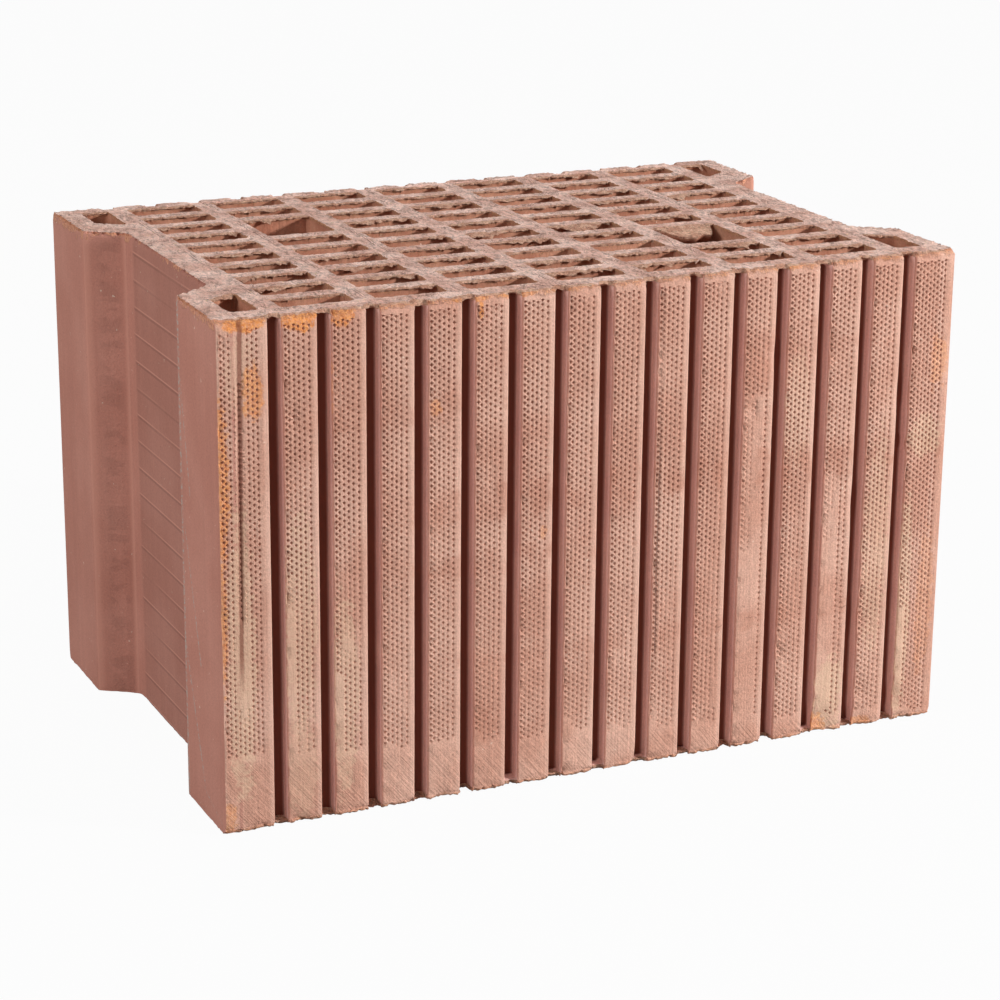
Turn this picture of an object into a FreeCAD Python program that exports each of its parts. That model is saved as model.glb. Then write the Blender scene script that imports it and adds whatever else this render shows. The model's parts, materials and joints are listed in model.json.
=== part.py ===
"""Hollow fired-clay wall block, extruded as one column of clay and cut off by wire.

The block is one fired piece. X runs along its length, Y across the wall from the front face to
the back one, and Z upwards. The origin is the centre of the bottom bed. The section is the same
at every height, so everything below is drawn in plan and runs through the full height.
"""

import FreeCAD, Part
import math
import os
import Sketcher
from FreeCAD import Vector

# Driving dimensions in millimetres, and counts
DIMENSIONS = {
    "block_length": 375,
    "block_width": 250,
    "block_height": 240,
    "corner_radius": 1.5,
    "pocket_depth": 18.75,
    "pocket_flare": 13,
    "pocket_floor_radius": 4,
    "pocket_mouth_radius": 3,
    "ear_width": 53,
    "ear_wall": 11,
    "ear_rib": 9.6,
    "ear_flank": 19,
    "ear_cell_radius": 2,
    "end_web": 16.3,
    "cross_web": 9.4,
    "row_web": 7.9,
    "shell_web": 6,
    "slot_columns": 7,
    "slot_rows": 10,
    "slot_corner": 1.4,
    "grip_column": 2,
    "grip_row": 3,
    "groove_count": 15,
    "groove_width": 7,
    "groove_depth": 7.5,
    "groove_floor_radius": 2.4,
    "corner_land": 23,
    "land_edge_radius": 1.3,
}

doc = FreeCAD.newDocument("hollow_clay_block")
sheet = doc.addObject("Spreadsheet::Sheet", "sizes")
for row, (alias, number) in enumerate(DIMENSIONS.items(), start=1):
    sheet.set(f"A{row}", alias)
    sheet.set(f"B{row}", str(number))
    sheet.setAlias(f"B{row}", alias)
doc.recompute()

body = doc.addObject("PartDesign::Body", "clay_block")
body.Label = "clay_block"
origin = {feature.Role: feature for feature in body.Origin.OriginFeatures}

# Sizes that follow from the driving dimensions, as expressions on the sheet
END_X = "(sizes.block_length / 2)"
FACE_Y = "(sizes.block_width / 2)"
POCKET_FLOOR_X = f"({END_X} - sizes.pocket_depth)"
POCKET_MOUTH_Y = f"({FACE_Y} - sizes.ear_width)"
POCKET_FLOOR_Y = f"({POCKET_MOUTH_Y} - sizes.pocket_flare)"
FIELD_X = f"({POCKET_FLOOR_X} - sizes.end_web)"
FIELD_Y = f"({FACE_Y} - sizes.groove_depth - sizes.shell_web)"
SLOT_LENGTH = f"((2 * {FIELD_X} - (sizes.slot_columns - 1) * sizes.cross_web) / sizes.slot_columns)"
SLOT_WIDTH = f"((2 * {FIELD_Y} - (sizes.slot_rows - 1) * sizes.row_web) / sizes.slot_rows)"
COLUMN_PITCH = f"({SLOT_LENGTH} + sizes.cross_web)"
ROW_PITCH = f"({SLOT_WIDTH} + sizes.row_web)"
FLANK_SLOPE = "(sizes.pocket_flare / sizes.pocket_depth)"
FLANK_SETBACK = f"(sizes.ear_flank * sqrt(1 + {FLANK_SLOPE} ^ 2))"
FIRST_GROOVE_X = f"({END_X} - sizes.corner_land - sizes.groove_width)"
GROOVE_PITCH = f"((2 * {FIRST_GROOVE_X} + sizes.groove_width) / (sizes.groove_count - 1))"


def measure(expression):
    """Work out an expression on the sheet as a number."""
    return float(sheet.evalExpression(expression))


def bind(sketch, kind, elements, expression, name):
    """Add a dimension to a sketch and tie it to an expression on the sheet."""
    index = sketch.addConstraint(Sketcher.Constraint(kind, *elements, measure(expression)))
    sketch.renameConstraint(index, name)
    sketch.setExpression(f"Constraints.{name}", expression)


def place(sketch, geometry, vertex, x, y, name):
    """Tie a point of a sketch to its x and y, measured from the origin."""
    centre = (-1, 1)
    for kind, expression in (("DistanceX", x), ("DistanceY", y)):
        if measure(expression) < 0:
            bind(sketch, kind, (geometry, vertex, *centre), f"-{expression}", f"{name}_{kind}")
        else:
            bind(sketch, kind, (*centre, geometry, vertex), expression, f"{name}_{kind}")


def rounded_corner(before, corner, after, radius):
    """Give the arc that rounds a corner, its two ends, and whether the outline turns left there."""
    back = (before - corner).normalize()
    ahead = (after - corner).normalize()
    half_angle = back.getAngle(ahead) / 2
    trim = radius / math.tan(half_angle)
    entry = corner + back * trim
    leave = corner + ahead * trim
    inward = (back + ahead).normalize()
    middle = corner + inward * (radius / math.sin(half_angle) - radius)
    turns_left = back.cross(ahead).z < 0
    ends = (entry, leave) if turns_left else (leave, entry)
    return Part.Arc(ends[0], middle, ends[1]), entry, leave, turns_left


def draw_plan(name, corners):
    """Draw a closed outline in plan, counterclockwise. A corner is its x, its y and its radius."""
    sketch = body.newObject("Sketcher::SketchObject", name)
    sketch.AttachmentSupport = (origin["XY_Plane"], [""])
    sketch.MapMode = "FlatFace"
    points = [Vector(measure(x), measure(y), 0) for x, y, radius in corners]
    total = len(corners)
    entries = list(points)
    leaves = list(points)
    arcs = {}
    for index, (x, y, radius) in enumerate(corners):
        if radius is None:
            continue
        before = points[index - 1]
        after = points[(index + 1) % total]
        arc, entry, leave, turns_left = rounded_corner(before, points[index], after, measure(radius))
        entries[index] = entry
        leaves[index] = leave
        arcs[index] = (sketch.addGeometry(arc), turns_left)
    sides = []
    for index in range(total):
        side = Part.LineSegment(leaves[index], entries[(index + 1) % total])
        sides.append(sketch.addGeometry(side))
    for index, (x, y, radius) in enumerate(corners):
        arriving = sides[index - 1]
        leaving = sides[index]
        if radius is None:
            sketch.addConstraint(Sketcher.Constraint("Coincident", arriving, 2, leaving, 1))
            place(sketch, leaving, 1, x, y, f"corner_{index}")
            continue
        arc, turns_left = arcs[index]
        first, last = (1, 2) if turns_left else (2, 1)
        apex = sketch.addGeometry(Part.Point(points[index]), True)
        sketch.addConstraint(Sketcher.Constraint("Tangent", arriving, 2, arc, first))
        sketch.addConstraint(Sketcher.Constraint("Tangent", arc, last, leaving, 1))
        sketch.addConstraint(Sketcher.Constraint("PointOnObject", apex, 1, arriving))
        sketch.addConstraint(Sketcher.Constraint("PointOnObject", apex, 1, leaving))
        bind(sketch, "Radius", (arc,), radius, f"corner_{index}_radius")
        place(sketch, apex, 1, x, y, f"corner_{index}")
    return sketch


def box_corners(low_x, low_y, high_x, high_y):
    """List the four sharp corners of a rectangle in plan."""
    return [(low_x, low_y, None), (high_x, low_y, None), (high_x, high_y, None), (low_x, high_y, None)]


def cut_box_corners(low_x, low_y, high_x, high_y, cut):
    """List the eight corners of a rectangle in plan whose own corners are cut off at 45 degrees."""
    return [
        (f"({low_x} + {cut})", low_y, None),
        (f"({high_x} - {cut})", low_y, None),
        (high_x, f"({low_y} + {cut})", None),
        (high_x, f"({high_y} - {cut})", None),
        (f"({high_x} - {cut})", high_y, None),
        (f"({low_x} + {cut})", high_y, None),
        (low_x, f"({high_y} - {cut})", None),
        (low_x, f"({low_y} + {cut})", None),
    ]


def cut_through(name, sketch):
    """Cut a plan outline through the full height, upwards from the bottom bed."""
    pocket = body.newObject("PartDesign::Pocket", name)
    pocket.Profile = sketch
    pocket.Type = "ThroughAll"
    pocket.Reversed = True
    return pocket


def mirror(name, plane):
    """Make a mirror copy step for a group of features."""
    step = body.newObject("PartDesign::Mirrored", name)
    step.MirrorPlane = (origin[plane], [""])
    return step


def repeat_along(name, axis, pitch, count):
    """Make a row copy step for a group of features."""
    step = body.newObject("PartDesign::LinearPattern", name)
    step.Direction = (origin[axis], [""])
    step.Mode = "Spacing"
    step.setExpression("Offset", pitch)
    step.setExpression("Occurrences", count)
    return step


def combine(name, feature, steps):
    """Repeat a feature by several copy steps, one after the other."""
    group = body.newObject("PartDesign::MultiTransform", name)
    group.Originals = [feature]
    group.Transformations = steps
    body.Tip = group
    doc.recompute()
    return group


# Column of clay: the outline with a mortar pocket in each end
flank = [
    (POCKET_FLOOR_X, POCKET_FLOOR_Y, "sizes.pocket_floor_radius"),
    (END_X, POCKET_MOUTH_Y, "sizes.pocket_mouth_radius"),
    (END_X, FACE_Y, "sizes.corner_radius"),
]
outline = list(flank)
outline += [(f"-{x}", y, radius) for x, y, radius in reversed(flank)]
outline += [(f"-{x}", f"-{y}", radius) for x, y, radius in flank]
outline += [(x, f"-{y}", radius) for x, y, radius in reversed(flank)]
column = body.newObject("PartDesign::Pad", "column")
column.Profile = draw_plan("column_outline", outline)
column.setExpression("Length", "sizes.block_height")
doc.recompute()

# Grooves: the ribbed face, with eased land edges, repeated along the length and mirrored to the back
GROOVE_END = f"({FIRST_GROOVE_X} + sizes.groove_width)"
EASING = "(2 * sizes.land_edge_radius)"
GROOVE_FLOOR_Y = f"(sizes.groove_depth - {FACE_Y})"
OUTSIDE_Y = f"-({FACE_Y} + sizes.groove_depth)"
groove_outline = draw_plan("groove_outline", [
    (f"-({GROOVE_END} + {EASING})", OUTSIDE_Y, None),
    (f"-({FIRST_GROOVE_X} - {EASING})", OUTSIDE_Y, None),
    (f"-({FIRST_GROOVE_X} - {EASING})", f"-{FACE_Y}", None),
    (f"-{FIRST_GROOVE_X}", f"-{FACE_Y}", "sizes.land_edge_radius"),
    (f"-{FIRST_GROOVE_X}", GROOVE_FLOOR_Y, "sizes.groove_floor_radius"),
    (f"-{GROOVE_END}", GROOVE_FLOOR_Y, "sizes.groove_floor_radius"),
    (f"-{GROOVE_END}", f"-{FACE_Y}", "sizes.land_edge_radius"),
    (f"-({GROOVE_END} + {EASING})", f"-{FACE_Y}", None),
])
groove = cut_through("groove", groove_outline)
grooves = combine("grooves", groove, [
    repeat_along("groove_step", "X_Axis", GROOVE_PITCH, "sizes.groove_count"),
    mirror("groove_face_mirror", "XZ_Plane"),
])

# Slots: one cell at the front left corner of the field, repeated over columns and rows
slot_outline = draw_plan("slot_outline", cut_box_corners(
    f"-{FIELD_X}",
    f"-{FIELD_Y}",
    f"({SLOT_LENGTH} - {FIELD_X})",
    f"({SLOT_WIDTH} - {FIELD_Y})",
    "sizes.slot_corner",
))
slot = cut_through("slot", slot_outline)
slots = combine("slots", slot, [
    repeat_along("slot_column_step", "X_Axis", COLUMN_PITCH, "sizes.slot_columns"),
    repeat_along("slot_row_step", "Y_Axis", ROW_PITCH, "sizes.slot_rows"),
])

# Grip holes: the web between two cells is left out, here and half a turn away
GRIP_LEFT = f"((sizes.grip_column - 1) * {COLUMN_PITCH} - {FIELD_X})"
GRIP_BACK = f"({FIELD_Y} - (sizes.grip_row - 1) * {ROW_PITCH} - {SLOT_WIDTH} / 2)"
grip_outline = draw_plan("grip_outline", box_corners(
    GRIP_LEFT,
    f"({GRIP_BACK} - {ROW_PITCH})",
    f"({GRIP_LEFT} + {SLOT_LENGTH})",
    GRIP_BACK,
))
grip = cut_through("grip", grip_outline)
grips = body.newObject("PartDesign::PolarPattern", "grips")
grips.Originals = [grip]
grips.Axis = (origin["Z_Axis"], [""])
grips.Angle = 360
grips.Occurrences = 2
body.Tip = grips
doc.recompute()

# Ear cells: one side runs parallel to the pocket's flank, so the wall there is even
CELL_INNER_X = f"({FIELD_X} + sizes.ear_rib)"
CELL_OUTER_X = f"({END_X} - sizes.ear_wall)"
CELL_FLANK_Y = f"({POCKET_FLOOR_Y} + {FLANK_SETBACK})"
CELL_INNER_Y = f"({CELL_FLANK_Y} + {FLANK_SLOPE} * ({CELL_INNER_X} - {POCKET_FLOOR_X}))"
CELL_OUTER_Y = f"({CELL_FLANK_Y} + {FLANK_SLOPE} * ({CELL_OUTER_X} - {POCKET_FLOOR_X}))"
ear_outline = draw_plan("ear_outline", [
    (CELL_INNER_X, CELL_INNER_Y, "sizes.ear_cell_radius"),
    (CELL_OUTER_X, CELL_OUTER_Y, "sizes.ear_cell_radius"),
    (CELL_OUTER_X, FIELD_Y, "sizes.ear_cell_radius"),
    (CELL_INNER_X, FIELD_Y, "sizes.ear_cell_radius"),
])
ear_cell = cut_through("ear_cell", ear_outline)
ear_cells = combine("ear_cells", ear_cell, [
    mirror("ear_end_mirror", "YZ_Plane"),
    mirror("ear_face_mirror", "XZ_Plane"),
])

# Every feature has to hold, and every cut has to take clay away
for item in doc.Objects:
    if {"Invalid", "Error"} & set(item.State):
        raise RuntimeError(f"{item.Label} failed: {item.State}")
stages = [column, grooves, slots, grips, ear_cells]
for earlier, later in zip(stages, stages[1:]):
    if later.Shape.Volume >= earlier.Shape.Volume:
        raise RuntimeError(f"{later.Label} takes nothing away")
shape = body.Shape
if shape.isNull() or not shape.isValid() or len(shape.Solids) != 1:
    raise RuntimeError("clay_block is not one valid solid")

os.makedirs("parts", exist_ok=True)
shape.exportStep(f"parts/{body.Label}.step")
print(f"slot {measure(SLOT_LENGTH):.2f} x {measure(SLOT_WIDTH):.2f} mm")
print(f"groove pitch {measure(GROOVE_PITCH):.2f} mm")
print(f"{len(shape.Faces)} faces, {shape.Volume / 1e6:.3f} litres of clay")
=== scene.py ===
# %% [markdown]
# # A hollow fired-clay wall block
# The block is one piece of clay, pressed through a die as an endless column, cut off by a wire,
# dried and fired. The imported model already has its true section. This lesson adds what the
# kiln, the wire and handling left on it: torn rims round the slots, knurled lands between the
# grooves, smeared groove ends and the colours of the clay.

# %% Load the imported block
import json
import math
import bmesh
import bpy
from mathutils import Matrix, Vector, noise


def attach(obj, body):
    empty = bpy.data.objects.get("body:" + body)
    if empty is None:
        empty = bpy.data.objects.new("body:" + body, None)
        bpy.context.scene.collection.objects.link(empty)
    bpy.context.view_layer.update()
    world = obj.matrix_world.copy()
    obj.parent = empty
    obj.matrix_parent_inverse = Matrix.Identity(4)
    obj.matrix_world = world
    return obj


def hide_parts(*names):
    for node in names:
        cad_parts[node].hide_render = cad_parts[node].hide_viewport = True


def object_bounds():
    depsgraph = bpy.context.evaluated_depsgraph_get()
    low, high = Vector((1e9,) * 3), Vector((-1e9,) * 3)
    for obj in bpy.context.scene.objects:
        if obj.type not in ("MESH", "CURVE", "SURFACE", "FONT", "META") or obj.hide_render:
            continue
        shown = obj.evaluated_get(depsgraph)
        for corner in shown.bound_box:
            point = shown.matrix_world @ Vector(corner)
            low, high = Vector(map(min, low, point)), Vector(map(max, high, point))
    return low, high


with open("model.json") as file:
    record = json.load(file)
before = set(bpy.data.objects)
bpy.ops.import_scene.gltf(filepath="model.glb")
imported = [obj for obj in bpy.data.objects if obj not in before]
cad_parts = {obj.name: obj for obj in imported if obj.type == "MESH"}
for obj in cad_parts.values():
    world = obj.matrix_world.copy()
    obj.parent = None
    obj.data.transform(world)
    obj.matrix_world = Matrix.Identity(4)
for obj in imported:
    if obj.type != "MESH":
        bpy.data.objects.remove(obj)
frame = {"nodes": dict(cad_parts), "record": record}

BLOCK = "clay_block"
MM = 0.001
cad_low, cad_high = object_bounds()
LENGTH, WIDTH, HEIGHT = cad_high - cad_low
print(f"block {LENGTH / MM:.0f} x {WIDTH / MM:.0f} x {HEIGHT / MM:.0f} mm")

# %% [markdown]
# ## Cutting the block into three meshes
# The real block has no parts, but one mesh with every dimple in it would be very heavy. So the
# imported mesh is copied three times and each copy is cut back: a ribbed slab in front, a ribbed
# slab at the back, and the slotted middle between them. The cuts run through the thin wall
# between the grooves and the slots, where there is nothing but clay, so the seams are straight.

# %% Copies of the block, cut back
SLAB = 10 * MM
SEAM = WIDTH / 2 - SLAB
MERGE = 0.001 * MM
FLAT_TURN = math.radians(1)


def all_parts(mesh):
    """List every vertex, edge and face."""
    return mesh.verts[:] + mesh.edges[:] + mesh.faces[:]


def block_copy():
    """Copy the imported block's triangles and merge them into one closed mesh."""
    mesh = bmesh.new()
    mesh.from_mesh(frame["nodes"][BLOCK].data)
    bmesh.ops.remove_doubles(mesh, verts=mesh.verts[:], dist=MERGE)
    return mesh


def cut_off(mesh, y, direction):
    """Cut along a plane across the wall and clear what lies past it in that direction."""
    bmesh.ops.bisect_plane(
        mesh, geom=all_parts(mesh), dist=MERGE,
        plane_co=(0, y, 0), plane_no=(0, direction, 0), clear_outer=True,
    )


def only(parts, kind):
    """List the parts of one kind: vertices, edges or faces."""
    return [part for part in parts if isinstance(part, kind)]


def cut_faces(mesh, faces, y):
    """Cut some faces along a plane across the wall and list the faces that they become."""
    edges = {edge for face in faces for edge in face.edges}
    corners = {vertex for face in faces for vertex in face.verts}
    cut = bmesh.ops.bisect_plane(
        mesh, geom=faces + list(edges) + list(corners), dist=MERGE,
        plane_co=(0, y, 0), plane_no=(0, 1, 0),
    )
    return only(cut["geom"], bmesh.types.BMFace)


def cut_levels(mesh, levels):
    """Cut level lines round a mesh at heights above the bottom bed."""
    for level in levels:
        bmesh.ops.bisect_plane(
            mesh, geom=all_parts(mesh), dist=MERGE,
            plane_co=(0, 0, level), plane_no=(0, 0, 1),
        )


def upright_walls_only(mesh):
    """Take the beds off and join the two triangles of each flat wall."""
    mesh.normal_update()
    beds = [face for face in mesh.faces if abs(face.normal.z) > 0.9]
    bmesh.ops.delete(mesh, geom=beds, context="FACES")
    bmesh.ops.dissolve_limit(
        mesh, angle_limit=FLAT_TURN, use_dissolve_boundaries=False,
        verts=mesh.verts[:], edges=mesh.edges[:], delimit=set(),
    )
    mesh.normal_update()


def level_edges(shape):
    """List the edges of a mesh or a face that lie level."""
    return [edge for edge in shape.edges if abs(edge.verts[0].co.z - edge.verts[1].co.z) < MERGE]


def divide_edges(mesh, edges, strip_of):
    """Cut edges into strips no longer than the given length for each edge."""
    by_cuts = {}
    for edge in edges:
        cuts = math.ceil(edge.calc_length() / strip_of(edge) - 0.01) - 1
        by_cuts.setdefault(cuts, []).append(edge)
    for cuts, group in sorted(by_cuts.items()):
        if cuts:
            bmesh.ops.subdivide_edges(mesh, edges=group, cuts=cuts, use_grid_fill=True)


def smooth_step(low, high, value):
    """Rise smoothly from 0 at the low value to 1 at the high one."""
    share = max(0.0, min(1.0, (value - low) / (high - low)))
    return share * share * (3 - 2 * share)


# %% [markdown]
# ## Finishes by face
# Each surface of the block has a finish of its own. The meshes only note a number on every face,
# and the materials that go with the numbers are made further down. The copies also carry the
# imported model's normals. They no longer fit once points have moved, so a finished piece drops
# them and works out its own.

# %% Names of the finishes
FINISHES = ["land", "groove", "end_skin", "bed", "slot_wall", "torn", "painted_shade_pit"]
LAND, GROOVE, END_SKIN, BED, SLOT_WALL, TORN, PAINTED_SHADE_PIT = range(len(FINISHES))
SHARP_TURN = math.radians(38)


def finished_piece(mesh, name):
    """Turn a bmesh into a piece of the block at the origin, with crisp edges where it turns sharply."""
    bmesh.ops.triangulate(mesh, faces=mesh.faces[:], quad_method="BEAUTY", ngon_method="BEAUTY")
    data = bpy.data.meshes.new(name)
    mesh.to_mesh(data)
    mesh.free()
    packed_normals = data.attributes.get("custom_normal")
    if packed_normals:
        data.attributes.remove(packed_normals)
    data.shade_smooth()
    data.set_sharp_from_angle(angle=SHARP_TURN)
    for polygon in data.polygons:
        polygon.use_smooth = polygon.material_index not in (TORN, END_SKIN)
    piece = bpy.data.objects.new(name, data)
    bpy.context.scene.collection.objects.link(piece)
    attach(piece, "root")
    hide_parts(BLOCK)
    open_edges = sum(1 for count in edge_use(data).values() if count != 2)
    print(f"{name}: {len(data.polygons)} triangles, {open_edges} open edges")
    return piece


def edge_use(data):
    """Count the faces at each edge."""
    use = {}
    for polygon in data.polygons:
        for key in polygon.edge_keys:
            use[key] = use.get(key, 0) + 1
    return use


# %% [markdown]
# ## The ribbed slab: rows, columns and lands
# The long faces are sixteen lands with grooves between them. On the copy each land is one flat
# rectangle. Cutting its level edges gives columns, cutting all upright edges gives rows, and a
# few more level cuts near the beds leave enough points to crumble those edges later. The
# columns start close to the left edge of a land and leave a smooth margin at its right edge,
# where the roller did not reach.

# %% Lands and their grid
ROWS = 85
CELL_WIDTH = 4.0 * MM
LEFT_BORDER = 0.3 * MM
RIGHT_BORDER = 1.2 * MM
END_BORDER = 3 * MM
END_LEVELS = [0.7 * MM, 1.4 * MM, 2.2 * MM, 4.2 * MM]
RIM_STRIP = 1.1 * MM
ARC_TURN = math.radians(20)
ARC_STEP = 0.9 * MM
ARC_STRIPS = 3
SQUARELY = 0.999
TALL = 0.9 * HEIGHT
AT_END = LENGTH / 2 - 1 * MM


def find_lands(mesh, side):
    """List the flat land faces of a slab from left to right."""
    faces = [
        face for face in mesh.faces
        if face.normal.y * side > SQUARELY and abs(face.calc_center_median().y) > WIDTH / 2 - MERGE
    ]
    return sorted(faces, key=lambda face: face.calc_center_median().x)


def span(face):
    """Give the lowest and highest x of a face."""
    places = [vertex.co.x for vertex in face.verts]
    return min(places), max(places)


def seam_ends(mesh, level):
    """Give the two seam vertices of a slab at a bed, left first."""
    found = [
        vertex for vertex in mesh.verts
        if abs(vertex.co.z - level) < MERGE and abs(abs(vertex.co.y) - SEAM) < MERGE
    ]
    return sorted(found, key=lambda vertex: vertex.co.x)


def walk_outline(mesh):
    """List the vertices of a slab's bottom outline from its left end to its right end."""
    walk = [seam_ends(mesh, 0.0)[0]]
    while True:
        beside = [edge.other_vert(walk[-1]) for edge in walk[-1].link_edges]
        ahead = [vertex for vertex in beside if vertex.co.z < MERGE and vertex not in walk[-2:]]
        if not ahead:
            return walk
        walk.append(ahead[0])


def thin_arcs(mesh):
    """Leave only a few strips on each rounded stretch of a slab's outline."""
    walk = walk_outline(mesh)
    arcs = [[]]
    for before, vertex, after in zip(walk, walk[1:], walk[2:]):
        turn = (vertex.co - before.co).angle(after.co - vertex.co)
        if turn < ARC_TURN:
            arcs[-1].append(vertex)
        elif arcs[-1]:
            arcs.append([])
        if (after.co - vertex.co).length > ARC_STEP and arcs[-1]:
            arcs.append([])
    spare = []
    for arc in arcs:
        kept = {round(step * (len(arc) - 1) / ARC_STRIPS) for step in range(ARC_STRIPS + 1)}
        spare += [vertex for index, vertex in enumerate(arc) if index not in kept]
    uprights = [edge for vertex in spare for edge in vertex.link_edges if edge.calc_length() > TALL]
    bmesh.ops.dissolve_edges(mesh, edges=uprights, use_verts=True)
    mesh.normal_update()


def column_places(low, high):
    """List the grid lines across a land: a narrow border first, then even cells."""
    count = int((high - low - LEFT_BORDER - RIGHT_BORDER) / CELL_WIDTH) + 1
    return [low + LEFT_BORDER + CELL_WIDTH * step for step in range(count)]


def divide_land(mesh, land):
    """Cut a land into columns."""
    low, high = span(land)
    places = column_places(low, high)
    bmesh.ops.subdivide_edges(mesh, edges=level_edges(land), cuts=len(places), use_grid_fill=True)
    for level in (0.0, HEIGHT):
        row = [
            vertex for vertex in mesh.verts
            if abs(vertex.co.z - level) < MERGE and low + MERGE < vertex.co.x < high - MERGE
        ]
        for vertex, place in zip(sorted(row, key=lambda vertex: vertex.co.x), places):
            vertex.co.x = place


def cut_ends(mesh, side):
    """Cut an upright line on both end walls beside the corners, to keep the rest of the wall flat."""
    ends = [
        face for face in mesh.faces
        if abs(face.normal.x) > SQUARELY and abs(face.verts[0].co.x) > AT_END
    ]
    cut_faces(mesh, ends, side * (WIDTH / 2 - END_BORDER))


def ribbed_slab(side):
    """Cut the slab of one long face off the block, with its lands in cells; give its land spans too."""
    mesh = block_copy()
    cut_off(mesh, side * SEAM, -side)
    upright_walls_only(mesh)
    thin_arcs(mesh)
    cut_ends(mesh, side)
    lands = find_lands(mesh, side)
    spans = [span(land) for land in lands]
    for land in lands:
        divide_land(mesh, land)
    uprights = [edge for edge in mesh.edges if edge.calc_length() > TALL]
    bmesh.ops.subdivide_edges(mesh, edges=uprights, cuts=ROWS - 1, use_grid_fill=True)
    cut_levels(mesh, END_LEVELS + [HEIGHT - level for level in END_LEVELS])
    rims = [
        edge for edge in level_edges(mesh)
        if min(edge.verts[0].co.z, HEIGHT - edge.verts[0].co.z) < END_LEVELS[1] + MERGE
    ]
    divide_edges(mesh, rims, lambda edge: RIM_STRIP)
    mesh.normal_update()
    return mesh, spans


front_mesh, land_spans = ribbed_slab(-1)
back_mesh, _ = ribbed_slab(1)
groove_spans = [(left[1], right[0]) for left, right in zip(land_spans, land_spans[1:])]
groove_width = groove_spans[0][1] - groove_spans[0][0]
print(f"{len(land_spans)} lands, grooves {groove_width / MM:.2f} mm between flats")
print(f"{len(front_mesh.faces)} cells a face")

# %% [markdown]
# ## Knurling
# A roller pressed staggered dimples into the lands while the clay was soft. They could be a bump
# texture, but they catch the light and their shade is the main pattern of the face. Poking every
# cell and taking the old grid lines out leaves diamonds on a staggered lattice, just as the
# roller sets them. Each diamond is inset, its inner face is drawn to the size of a dimple, and
# the middle of that is pushed in, and down to the left, where the photograph's dimples end in a
# bright facet. The clay round each dimple gave way too, in a shallow brim. The roller ran a little
# askew, so the knurl starts higher at the left end than at the right, and wear has wiped it off
# in places. The faces get their finish numbers now, while lands and grooves are still true.

# %% Dimples pressed into the lands
SEEDS = {-1: 3.1, 1: 8.4}
KNURL_FOOT = 19 * MM
KNURL_SLANT = 0.087
KNURL_HIGH = 236 * MM
DIMPLE_MARGIN = 0.4 * MM
DIMPLE_HALF_WIDTH = 0.78 * MM
DIMPLE_HALF_HEIGHT = 0.9 * MM
DIMPLE_DEPTH = 1.25 * MM
DIMPLE_BRIM = 0.22 * MM
DIMPLE_ROOM = 2.6 * DIMPLE_HALF_WIDTH
TIP_SHIFT = 0.22 * MM
RIGHT_MARGIN = 2.4 * MM
RUN_OUT = 8 * MM
WORN_BELOW = 40 * MM
FRESH_ABOVE = 150 * MM
WORN_OFF = 0.85
PIT_SHADE_FRESHNESS = 0.4
GROOVE_LIP = 1.9 * MM
END_LAND = 22 * MM
WORN_PATCHES = [
    (74, 83, 12, 178),
    (119, 127, 12, 135),
    (-181, -174, 62, 240),
    (-158, -153, 35, 120),
    (-134, -129, 20, 70),
    (165, 170, 5, 60),
]


def wear_at(x, z, side):
    """Tell how far the knurl is worn away, from 0 for fresh to 1 for smooth."""
    seed = SEEDS[side]
    cloud = noise.fractal(Vector((x * 90, seed, z * 28)), 1.0, 2.0, 3)
    worn = max(0.0, min(1.0, 0.8 * cloud))
    from_end = min(z - knurl_foot(x), KNURL_HIGH - z)
    ends = max(0.0, 1 - from_end / RUN_OUT) * abs(noise.noise(Vector((x * 150, seed, z * 150))))
    in_patch = side < 0 and any(
        left < x / MM < right and low < z / MM < high for left, right, low, high in WORN_PATCHES
    )
    low_down = 0.35 * smooth_step(FRESH_ABOVE, WORN_BELOW, z)
    return min(1.0, worn + 1.2 * ends + 0.7 * in_patch + low_down)


def knurl_foot(x):
    """Give the height at which the knurl starts."""
    return KNURL_FOOT - KNURL_SLANT * x


def set_dimple(face, side):
    """Draw the inner face of a diamond to the size of a dimple and sink it a little."""
    middle = face.calc_center_median()
    for corner in face.verts:
        offset = corner.co - middle
        corner.co.y -= side * DIMPLE_BRIM
        if abs(offset.x) > abs(offset.z):
            corner.co.x = middle.x + math.copysign(DIMPLE_HALF_WIDTH, offset.x)
            corner.co.z = middle.z
        else:
            corner.co.x = middle.x
            corner.co.z = middle.z + math.copysign(DIMPLE_HALF_HEIGHT, offset.z)


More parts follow.
